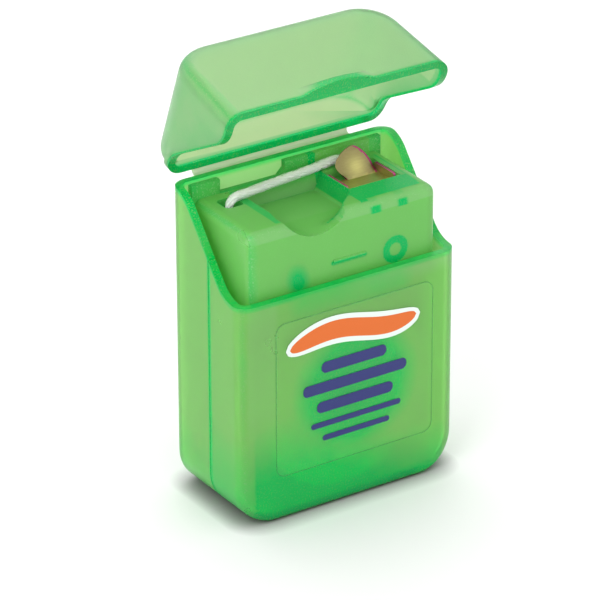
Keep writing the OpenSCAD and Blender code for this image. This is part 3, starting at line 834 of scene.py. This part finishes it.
round_corners(lambda a, b: near(a.x, b.x) and near(a.y, b.y), hole_corner, 4)
bpy.ops.object.mode_set(mode="OBJECT")
boolean(neck, hole, "DIFFERENCE")
pick_piece(neck)
bevel_edges(neck, bevel_width, 2)
bpy.ops.object.mode_set(mode="EDIT")
merge_slivers()
cut_across(0, steps(-neck_half + neck_round, neck_half - neck_round, 121))
cut_across(1, steps(neck_front + neck_round, plate_front - thrust_high, 34))
cut_across(2, steps(boss_z - 0.0032, neck_band, 48))
merge_slivers()
bpy.ops.mesh.select_all(action="SELECT")
bpy.ops.mesh.fill_holes(sides=8)
bpy.ops.object.mode_set(mode="OBJECT")
smooth_flats(neck)


tab_low, tab_high, tab_fade = 0.0446, 0.0457, 0.0006
ring_middle, ring_half, ring_fade = 0.00160, 0.00072, 0.0002
blot = (-0.0080, 0.0371)
blot_radius, blot_fade, blot_core = 0.0036, 0.0028, 0.0011
line_drop, line_fade = 0.0002, 0.00032
corner_fade = 0.0022
beam_left, beam_right, beam_front = 0.0010, 0.0008, 0.0010
wall_left, wall_from, wall_to = 0.0013, -0.0062, 0.0035
shadow_over = 0.0004


def front_emerald(co):
    """What shows through the neck's front: a ring boss, the other one's shadow, two tabs and the bead."""
    far = math.hypot(co.x - boss_places[1], co.z - boss_z)
    ring = (ring_half - abs(far - ring_middle)) / ring_fade
    near_blot = math.hypot(1.3 * (co.x - blot[0]), co.z - blot[1] - 0.3 * (blot[0] - co.x))
    shadow = (blot_radius - near_blot) / blot_fade + (0.6 if near_blot < blot_core else 0.0)
    tab = max(2.0 - abs(co.x - x) / tab_fade for x in tab_places) if tab_low < co.z < tab_high else 0.0
    along_bead = max(0.0, abs(co.x - bead_x) - bead_length / 2)
    under_bead = 1.6 - math.hypot(along_bead, co.z - bead_z + line_drop) / line_fade
    corner = 0.6 * (1.0 - (co.x + neck_half) / corner_fade)
    return max(0.08, min(ring, 1.0), shadow, min(tab, 1.0), under_bead, corner)


def neck_emerald(co, normal, share):
    """The deep green places of the neck: behind its front, its round edges, by the recess and window."""
    on_top = normal.z > 0.6 and co.z > neck_band
    if normal.y < -0.6 and co.y < neck_front + neck_round:
        return front_emerald(co)
    if on_top and window_low[0] - beam_left < co.x < window_high[0] + beam_right:
        beside_recess = co.x < window_low[0] + touch and co.y > neck_front + beam_front
        before_window = neck_front + 0.0016 < co.y < window_low[1]
        return 1.0 if beside_recess or before_window else 0.4 * share
    if on_top and recess_left - wall_left < co.x < recess_left and wall_from < co.y < wall_to:
        return 0.75
    if co.y < neck_front + neck_round:
        return 0.5 * turned(normal)
    in_recess = recess_floor + shadow_over < co.z < neck_top and scoop_x < co.x < recess_right + shadow_over
    if in_recess and normal.x < -0.3:
        return 0.85
    return max(share, 0.5 * turned(normal))


def neck_lit(co, normal):
    """The neck's front top edge, the band under it and the back of the recess catch the light."""
    if co.y < neck_front + neck_round and co.z > neck_band:
        return 0.22
    in_recess = recess_left - touch < co.x < recess_right and co.y > recess_front
    if in_recess and recess_floor - touch < co.z < neck_top - shadow_over:
        return 0.3 if normal.y < -0.6 else 0.1
    return 0.0


paint_depth_and_shade(neck, neck_emerald, neck_lit, blur=1)
neck.data.materials.append(frame_plastic)
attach(neck, "case")
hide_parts("inner_frame")


# Cutter
# A strip of brass coloured sheet steel, stamped and bent: a plate that drops into the window, a flange up
# each side, and a domed tongue bent up out of the plate. The floss is pulled in behind the tongue and cut on
# its edge.
metal = 0.0004
seat_top = 0.0452
cutter_left, cutter_right = window_low[0] + 0.0001, window_high[0] - 0.0001
cutter_front, cutter_back = window_low[1] + 0.0001, window_high[1] - 0.0001
flange_high, flange_inset, flange_corner = 0.0011, 0.0008, 0.0005
sheet_round = 0.00005
fold_x, fold_y = 0.0099, 0.0031
fold = Vector((fold_x, fold_y - metal / 2, seat_top - metal / 2))
tongue_half = 0.0031
tongue_high = 0.0049
tongue_foot_in = 0.0011
tongue_bulge = 0.0023
tongue_hip = 0.0006
tongue_dome = 0.006
tongue_lean = math.radians(27.0)
burr_width = 0.00042


def cutter_metal(name, low, high, shaded_colour, roughness):
    """Rolled sheet: fine lines along X, a low sheen and faint smudges, browner where shade is painted on it.
    """
    material, tree, shader = new_material(name, {"Metallic": 0.75})
    lines = streaks(tree, (260.0, 5000.0, 5000.0), 4.0, low, high)
    painted_shade = add_node(tree, "Attribute", attribute_name="painted_shade")
    colour = blend_colours(tree, lines, shaded_colour, painted_shade.outputs["Fac"])
    tree.links.new(colour, shader.inputs["Base Color"])
    add_grain(material, 2600.0, roughness, 0.2, 0.000015)
    return material


# The third colour of each is the painted shade.
brass = cutter_metal(
    "brass coloured sheet", (0.50, 0.44, 0.14), (0.76, 0.69, 0.27), (0.19, 0.14, 0.07), 0.34)
cut_edge = cutter_metal(
    "cut edge", (0.62, 0.05, 0.25), (0.86, 0.16, 0.44), (0.30, 0.03, 0.10), 0.45)


def tongue_sides(high):
    """How far the tongue reaches to each side at a height along its slope: full left, slanting right."""
    over_bulge = max(0.0, (high - tongue_bulge) / (tongue_high - tongue_bulge))
    over_hip = max(0.0, (high - tongue_hip) / (tongue_high - tongue_hip))
    left = tongue_half * max(0.0, 1 - over_bulge ** 1.9) ** 0.62
    right = tongue_half * max(0.0, 1 - over_hip ** 1.6) ** 0.72
    if high < tongue_bulge:
        left -= tongue_foot_in * (1 - high / tongue_bulge) ** 1.3
    return -left, right


def tongue_right_edge(place):
    """How far right the tongue reaches at a place on it."""
    along = Vector((0.0, math.sin(tongue_lean), math.cos(tongue_lean)))
    high = (place - fold).dot(along)
    return tongue_sides(min(max(high, 0.0), tongue_high))[1]


def cutter_tongue():
    """The domed tongue, with its rolled foot, as a bent and thickened sheet."""
    rows, columns = 28, 18
    heights = [tongue_high * math.sin(math.pi / 2 * share) for share in steps(0.0, 0.985, rows)]
    mesh = bmesh.new()
    grid = []
    for high in heights:
        left, right = tongue_sides(high)
        ring = []
        for across in steps(-1.0, 1.0, columns):
            x = (left + right) / 2 + (right - left) / 2 * math.sin(across * math.pi / 2)
            dome = tongue_dome - math.sqrt(tongue_dome ** 2 - x ** 2)
            foot = min(1.0, high / (3 * metal))
            ring.append(mesh.verts.new((x, dome * foot, high)))
        grid.append(ring)
    for low_row, high_row in zip(grid, grid[1:]):
        for i in range(columns - 1):
            mesh.faces.new((low_row[i], low_row[i + 1], high_row[i + 1], high_row[i]))
    tongue = new_piece("cutter_tongue", mesh)
    tongue.data.materials.append(brass)
    tongue.data.materials.append(cut_edge)
    tongue.data.transform(Matrix.Translation(fold) @ Matrix.Rotation(-tongue_lean, 4, "X"))
    thicken = tongue.modifiers.new("sheet", "SOLIDIFY")
    thicken.thickness = metal
    thicken.offset = 0.0
    thicken.material_offset_rim = 1
    pick_piece(tongue)
    bpy.ops.object.modifier_apply(modifier=thicken.name)
    return tongue


def join(pieces):
    """Joins pieces into the first one."""
    pick_piece(pieces[0])
    for piece in pieces[1:]:
        piece.select_set(True)
    bpy.ops.object.join()


cutter_plate = add_box(
    "cutter_strip", (cutter_left, cutter_front, seat_top - metal), (cutter_right, cutter_back, seat_top))
boolean(cutter_plate, add_box(
    "slot", (fold_x - tongue_half - 0.0004, fold_y + 0.0002, seat_top - 0.001),
    (fold_x + tongue_half + 0.0001, cutter_back + 0.001, seat_top + 0.001)), "DIFFERENCE")
for flange_left in (cutter_left, cutter_right - metal):
    flange = add_box(
        "flange", (flange_left, cutter_front + flange_inset, seat_top - metal / 2),
        (flange_left + metal, cutter_back - flange_inset, seat_top + flange_high))
    bpy.ops.object.mode_set(mode="EDIT")
    round_corners(lambda a, b: near(a.z, seat_top + flange_high) and near(b.z, a.z) and near(a.y, b.y),
                  flange_corner, 5)
    bpy.ops.object.mode_set(mode="OBJECT")
    boolean(cutter_plate, flange, "UNION")
cutter_plate.data.materials.append(brass)
cutter_plate.data.materials.append(cut_edge)
pick_piece(cutter_plate)
bevel_edges(cutter_plate, sheet_round, 2)
bpy.ops.object.mode_set(mode="EDIT")
merge_slivers()
bpy.ops.object.mode_set(mode="OBJECT")
smooth_flats(cutter_plate)
for face in cutter_plate.data.polygons:
    over_plate = face.center.z > seat_top + metal
    on_top = abs(face.normal.x) < 0.9 and over_plate
    in_slot = face.center.z > seat_top - metal and abs(face.normal.z) < 0.5 and not over_plate
    face.material_index = 1 if on_top or in_slot else 0
tongue = cutter_tongue()
for face in tongue.data.polygons:
    to_right = face.center.x - fold_x
    if to_right > 0.0 and to_right > tongue_right_edge(face.center) - burr_width:
        face.material_index = 1
round_edges(tongue, 0.00006, 2)
join([cutter_plate, tongue])
# Painted shade on the cutter: the tongue darker to its top and sides round a painted highlight low in its
# middle, the rest a little darker throughout.
painted_shade = cutter_plate.data.attributes.new("painted_shade", "FLOAT", "POINT")
for vertex in cutter_plate.data.vertices:
    up = (vertex.co.z - seat_top) / tongue_high
    if up > 0.03 and vertex.co.y > fold_y - metal:
        across = (vertex.co.x - fold_x) / tongue_half
        bright = math.exp(-((across + 0.05) / 0.5) ** 2 - ((up - 0.28) / 0.32) ** 2)
        painted_shade.data[vertex.index].value = 0.75 * (1.0 - bright)
    else:
        painted_shade.data[vertex.index].value = 0.25
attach(cutter_plate, "case")
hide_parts("cutter")


# Spool
# A milky bobbin, a hub with two thin flanges, that turns freely on the frame's post.
spool_front, spool_back = -0.00765, 0.00655
flange_thick = 0.0008
spool_radius = 0.0145
hub_radius = 0.005
spool_bore = 0.0035
rim_radius = 0.0002


def lathe(name, outline, sides):
    """A solid of revolution round the spool's axis, from its half section as places in radius and Y."""
    mesh = bmesh.new()
    points = [mesh.verts.new((radius, y, spool_z)) for radius, y in outline]
    for a, b in zip(points, points[1:] + points[:1]):
        mesh.edges.new((a, b))
    piece = new_piece(name, mesh)
    pick_piece(piece)
    bpy.ops.object.mode_set(mode="EDIT")
    bpy.ops.mesh.select_all(action="SELECT")
    bpy.ops.mesh.spin(
        steps=sides, angle=2 * math.pi, center=(0.0, 0.0, spool_z), axis=(0.0, 1.0, 0.0),
        use_auto_merge=True)
    bpy.ops.mesh.select_all(action="SELECT")
    bpy.ops.mesh.remove_doubles(threshold=1e-7)
    bpy.ops.mesh.normals_make_consistent(inside=False)
    bpy.ops.object.mode_set(mode="OBJECT")
    return piece


def moulded(name, colour, clear):
    """Opaque or milky moulded plastic with the same fine grain as the case."""
    material = new_material(name, {
        "Base Color": (*colour, 1.0), "IOR": 1.49, "Transmission Weight": clear})[0]
    add_grain(material, 4200.0, 0.42, 0.1, 0.00002)
    return material


def flange_rim(outer, front, back, count=4):
    """The rounded rim of a flange, from its front to its back face."""
    places = [
        (outer - rim_radius * (1 - math.sin(turn)), front + rim_radius * (1 - math.cos(turn)))
        for turn in steps(0.0, math.pi / 2, count)
    ]
    return places + [(radius, front + back - y) for radius, y in reversed(places)]


yarn_front = spool_front + flange_thick
yarn_back = spool_back - flange_thick
bobbin = lathe(
    "spool",
    [(spool_bore, spool_front)] + flange_rim(spool_radius, spool_front, yarn_front)
    + [(hub_radius, yarn_front), (hub_radius, yarn_back)]
    + flange_rim(spool_radius, yarn_back, spool_back) + [(spool_bore, spool_back)], 72)
bobbin.data.shade_smooth()
round_edges(bobbin, 0.00008, 1)
bobbin.data.materials.append(moulded("milky spool", (0.86, 0.9, 0.84), 0.15))
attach(bobbin, "spool")
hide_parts("spool_core")


# Winding
# Bulked nylon yarn, wound in close turns. The outer layer lies one turn beside the next over a full core.
wound_radius = 0.00045
winding_radius = 0.01345
wound_turns = 11
rings_per_turn = 30
end_clear = 0.0003
core_clear = 0.0001


def tube(name, points, radii, sides, outward):
    """A closed tube along points, with a radius and a sideways direction for each."""
    mesh = bmesh.new()
    rings = []
    for i, (point, radius, side) in enumerate(zip(points, radii, outward)):
        ahead = (points[min(i + 1, len(points) - 1)] - points[max(i - 1, 0)]).normalized()
        second = ahead.cross(side).normalized()
        first = second.cross(ahead)
        rings.append([
            mesh.verts.new(point + radius * (math.cos(a) * first + math.sin(a) * second))
            for a in steps(0.0, 2 * math.pi * (sides - 1) / sides, sides)
        ])
    for ring, beyond in zip(rings, rings[1:]):
        for k in range(sides):
            after = (k + 1) % sides
            mesh.faces.new((ring[k], ring[after], beyond[after], beyond[k]))
    mesh.faces.new(list(reversed(rings[0])))
    mesh.faces.new(rings[-1])
    bmesh.ops.recalc_face_normals(mesh, faces=mesh.faces)
    piece = new_piece(name, mesh)
    piece.data.shade_smooth()
    return piece


def yarn_material(name, shade, light, scale):
    """White bulked yarn: soft sheen and a fine tangle of filaments."""
    material, tree, shader = new_material(name, {
        "Sheen Weight": 0.35, "Sheen Roughness": 0.5, "Roughness": 0.85,
        "Subsurface Weight": 0.4, "Subsurface Radius": (0.0006, 0.0006, 0.0005), "Subsurface Scale": 1.0,
    })
    place = add_node(tree, "TexCoord")
    tangle = add_node(tree, "TexNoise", {"Scale": scale, "Detail": 5.0, "Distortion": 1.5})
    bump = add_node(tree, "Bump", {"Strength": 0.8, "Distance": 0.00008})
    tree.links.new(place.outputs["Object"], tangle.inputs["Vector"])
    tree.links.new(blend_colours(tree, shade, light, tangle.outputs["Fac"]), shader.inputs["Base Color"])
    tree.links.new(tangle.outputs["Fac"], bump.inputs["Height"])
    tree.links.new(bump.outputs["Normal"], shader.inputs["Normal"])
    return material


yarn = yarn_material("floss yarn", (0.93, 0.98, 0.89), (1.0, 1.0, 0.98), 3200.0)
core_radius = winding_radius - wound_radius
winding = lathe("wound_floss", [
    (hub_radius + core_clear, yarn_front + core_clear), (core_radius, yarn_front + core_clear),
    (core_radius, yarn_back - core_clear), (hub_radius + core_clear, yarn_back - core_clear)], 72)
turn_points = []
turn_sides = []
first_y = yarn_front + wound_radius + end_clear
last_y = yarn_back - wound_radius - end_clear
for i in range(wound_turns * rings_per_turn + 1):
    share = i / (wound_turns * rings_per_turn)
    turn = 2 * math.pi * wound_turns * share
    outward = Vector((math.sin(turn), 0.0, math.cos(turn)))
    middle = Vector((0.0, first_y + (last_y - first_y) * share, spool_z))
    turn_points.append(middle + winding_radius * outward)
    turn_sides.append(outward)
turns = tube("turns", turn_points, [wound_radius] * len(turn_points), 10, turn_sides)
join([winding, turns])
winding.data.materials.append(yarn)
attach(winding, "spool")
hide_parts("floss_winding")


# Drawn floss
# The loose end of the yarn: off the spool, up through the exit hole, over the recess and behind the tongue.
# It is bulked like a sponge, so it is a loose twist of soft plies with short filaments standing off it.
floss_route = [Vector(point) / 1000 for point in (
    (-14.2, 3.4, 21.6), (-14.1, 3.4, 25), (-13.9, 3.4, 29), (-13.6, 3.4, 33), (-13.4, 3.4, 37),
    (-13.1, 3.4, 41), (-12.9, 3.4, 44), (-12.8, 3.3, 45.6), (-12.6, 3.2, 46.5), (-12.1, 3.2, 47.1),
    (-11.2, 3.3, 47.3), (-9.5, 3.5, 47.3), (-7, 3.9, 47.3), (-4, 4.3, 47.3), (-1, 4.7, 47.3),
    (2, 5.1, 47.3), (4.4, 5.5, 47.3), (6, 5.9, 47.3), (7.2, 6, 47.3), (8.2, 5.9, 47.3),
    (9, 5.6, 47.3), (9.7, 5.3, 47.3),
)]
floss_radius = 0.0006
ply_count = 6
ply_radius = 0.00026
twist_length = 0.009
route_step = 0.0002
filament_count = 700
filament_radius = 0.000012


def smooth_route(points, spacing):
    """A smooth curve through the points, at even spacing."""
    dense = []
    for i in range(len(points) - 1):
        before, a = points[max(i - 1, 0)], points[i]
        b, after = points[i + 1], points[min(i + 2, len(points) - 1)]
        for share in steps(0.0, 1.0, 41)[:-1]:
            dense.append(0.5 * (
                2 * a + (b - before) * share + (2 * before - 5 * a + 4 * b - after) * share ** 2
                + (3 * a - before - 3 * b + after) * share ** 3))
    dense.append(points[-1])
    even, gone = [dense[0]], 0.0
    for a, b in zip(dense, dense[1:]):
        gone += (b - a).length
        if gone >= spacing:
            even.append(b)
            gone = 0.0
    return even


centre_line = smooth_route(floss_route, route_step)
frames = []
side = Vector((0.0, 1.0, 0.0))
for i in range(len(centre_line)):
    ahead = (centre_line[min(i + 1, len(centre_line) - 1)] - centre_line[max(i - 1, 0)]).normalized()
    side = (side - ahead * side.dot(ahead)).normalized()
    frames.append((side.copy(), ahead.cross(side)))
pluck = random.Random(11)
plies = []
for ply in range(ply_count + 1):
    sway = [pluck.uniform(0.0, 2 * math.pi) for _ in range(4)]
    ply_points, ply_radii = [], []
    for i, (point, (first, second)) in enumerate(zip(centre_line, frames)):
        along = i * route_step
        loose = 1 + 0.10 * math.sin(along * 1900 + sway[0]) + 0.07 * math.sin(along * 4300 + sway[1])
        turn = 2 * math.pi * (along / twist_length + ply / ply_count)
        turn += 0.25 * math.sin(along * 1400 + sway[2])
        reach = 0.0 if ply == ply_count else (floss_radius - ply_radius) * loose
        ply_points.append(point + reach * (math.cos(turn) * first + math.sin(turn) * second))
        ply_radii.append(ply_radius * (1 + 0.12 * math.sin(along * 5200 + sway[3])))
    plies.append(tube("ply", ply_points, ply_radii, 10, [first for first, second in frames]))
shown_from = next(i for i, point in enumerate(centre_line) if point.z > 0.0462)
for _ in range(filament_count):
    start = pluck.randrange(shown_from, len(centre_line) - 12)
    turn = pluck.uniform(0.0, 2 * math.pi)
    length = pluck.randrange(4, 11)
    lift = pluck.uniform(0.00004, 0.00016)
    drift = pluck.uniform(-0.8, 0.8)
    hair = []
    for k in range(5):
        share = k / 4
        i = start + round(length * share)
        first, second = frames[i]
        reach = floss_radius * 0.97 + lift * math.sin(math.pi * (0.15 + 0.7 * share))
        angle = turn + drift * share
        hair.append(centre_line[i] + reach * (math.cos(angle) * first + math.sin(angle) * second))
    plies.append(tube("filament", hair, [filament_radius] * len(hair), 3, [frames[start][0]] * len(hair)))
join(plies)
drawn_floss = plies[0]
drawn_floss.name = "drawn_floss"
drawn_floss.data.materials.clear()
drawn_floss.data.materials.append(yarn)
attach(drawn_floss, "case")
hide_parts("floss_strand")


# Label
# A clear self-adhesive film with round corners. It carries a plain print: an orange wave with a white border
# and navy bars below it.
label_left, label_right = -0.0131, 0.0145
label_low, label_high = 0.0072, 0.0322
label_corner = 0.0016
film_line = 0.00014
film_front = -case_half_depth - 0.00009
film_behind = -case_half_depth - 0.00001
ink_front = film_front - 0.00002


def rounded_card(name, left, right, low, high, corner, front, back):
    """A thin sheet with round corners, upright on the case's front."""
    card = add_box(name, (left, front, low), (right, back, high))
    bpy.ops.object.mode_set(mode="EDIT")
    round_corners(lambda a, b: near(a.x, b.x) and near(a.z, b.z), corner, 8)
    bpy.ops.object.mode_set(mode="OBJECT")
    return card


def clear_sheet(name, colour, cover):
    """Clear glossy film that covers only a share of what lies behind it."""
    material = new_material(name, {"Base Color": (*colour, 1.0), "Alpha": cover})[0]
    add_grain(material, 900.0, 0.12, 0.05, 0.000004)
    return material


def printing_ink(name, colour):
    """A flat printed colour under the gloss of the film."""
    material = new_material(name, {"Base Color": (*colour, 1.0)})[0]
    add_grain(material, 2500.0, 0.35, 0.1, 0.000004)
    return material


label = rounded_card(
    "label_sheet", label_left, label_right, label_low, label_high, label_corner, film_front, film_behind)
bpy.ops.object.mode_set(mode="EDIT")
pick_faces(lambda middle, normal: normal.y < -0.9)
bpy.ops.mesh.inset(thickness=film_line)
bpy.ops.object.mode_set(mode="OBJECT")
label.data.materials.append(clear_sheet("clear film", (0.4, 0.8, 0.3), 0.03))
label.data.materials.append(clear_sheet("cut edge of the film", (0.04, 0.40, 0.10), 0.4))
for face in label.data.polygons:
    face.material_index = 0 if face.select or face.normal.y > 0.5 else 1
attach(label, "case")
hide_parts("label_film")
orange = printing_ink("orange ink", (0.74, 0.14, 0.006))
white_ink = printing_ink("white ink", (0.80, 0.89, 0.84))
navy = printing_ink("navy ink", (0.012, 0.018, 0.16))


def wave(name, left, right, middle, swing, thick, front, back, ink):
    """A wave that swells in the middle and tapers to round ends."""
    upper, lower = [], []
    for share in steps(0.0, 1.0, 61):
        x = left + (right - left) * share
        z = middle + swing * math.sin(2 * math.pi * (share - 0.08))
        half = thick / 2 * math.sqrt(max(0.0, 1 - (2 * share - 1) ** 4))
        upper.append((x, z + half))
        lower.append((x, z - half))
    outline = upper + list(reversed(lower[1:-1]))
    piece = loft(name, [[(x, y, z) for x, z in outline] for y in (front, back)])
    piece.data.materials.append(ink)
    return piece


wave_z, wave_swing = 0.0279, 0.0009
thick_bar, thin_bar = 0.0018, 0.0009
prints = [
    wave("print_border", -0.0114, 0.0122, wave_z, wave_swing, 0.0046,
         ink_front + 0.00001, film_front, white_ink),
    wave("print_wave", -0.0107, 0.0115, wave_z, wave_swing, 0.0030, ink_front, film_front, orange),
]
for number, (left, right, low, high) in enumerate((
    (-0.0052, 0.0062, 0.0222, thick_bar), (-0.0084, 0.0098, 0.0190, thick_bar),
    (-0.0060, 0.0074, 0.0158, thick_bar), (-0.0070, 0.0088, 0.0134, thin_bar),
    (-0.0050, 0.0068, 0.0111, thin_bar),
), start=1):
    bar = rounded_card(
        f"print_bar_{number}", left, right, low, low + high, high * 0.45, ink_front, film_front)
    bar.data.materials.append(navy)
    prints.append(bar)
for piece in prints:
    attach(piece, "case")


# Stage
# A white table top that runs out of view, a bright even surround and two large soft lamps.
bpy.ops.object.select_all(action="DESELECT")
bpy.ops.mesh.primitive_plane_add(size=6.0, location=(0.0, 0.0, 0.0))
floor = bpy.context.object
floor.name = "floor"
floor_paint, tree, floor_shader = new_material("white table", {"Roughness": 0.8})
# Painted shadow: the table's colour darkens by ambient occlusion close to the case.
nearness = add_node(tree, "AmbientOcclusion", {"Distance": 0.0035})
deepen = add_node(tree, "Math", {1: 1.5}, operation="POWER")
tree.links.new(nearness.outputs["AO"], deepen.inputs[0])
floor_tone = blend_colours(tree, (0.20, 0.16, 0.18), (0.92, 0.92, 0.92), deepen.outputs["Value"])
tree.links.new(floor_tone, floor_shader.inputs["Base Color"])
floor.data.materials.append(floor_paint)

world = bpy.data.worlds.new("surround")
scene.world = world
world.use_nodes = True
world.node_tree.nodes["Background"].inputs["Color"].default_value = (1.0, 1.0, 1.0, 1.0)
world.node_tree.nodes["Background"].inputs["Strength"].default_value = 1.0


def soft_lamp(name, place, target, size, power):
    """A square soft box that faces a point."""
    lamp_data = bpy.data.lights.new(name, "AREA")
    lamp_data.shape = "SQUARE"
    lamp_data.size = size
    lamp_data.energy = power
    lamp = bpy.data.objects.new(name, lamp_data)
    scene.collection.objects.link(lamp)
    lamp.location = place
    lamp.rotation_mode = "QUATERNION"
    lamp.rotation_quaternion = (Vector(target) - Vector(place)).to_track_quat("-Z", "Y")
    return lamp


soft_lamp("left softbox", (-0.5, -0.25, 0.45), (0.0, 0.0, 0.03), 0.35, 1.2)
soft_lamp("top softbox", (0.1, 0.3, 0.6), (0.0, 0.0, 0.03), 0.4, 0.9)
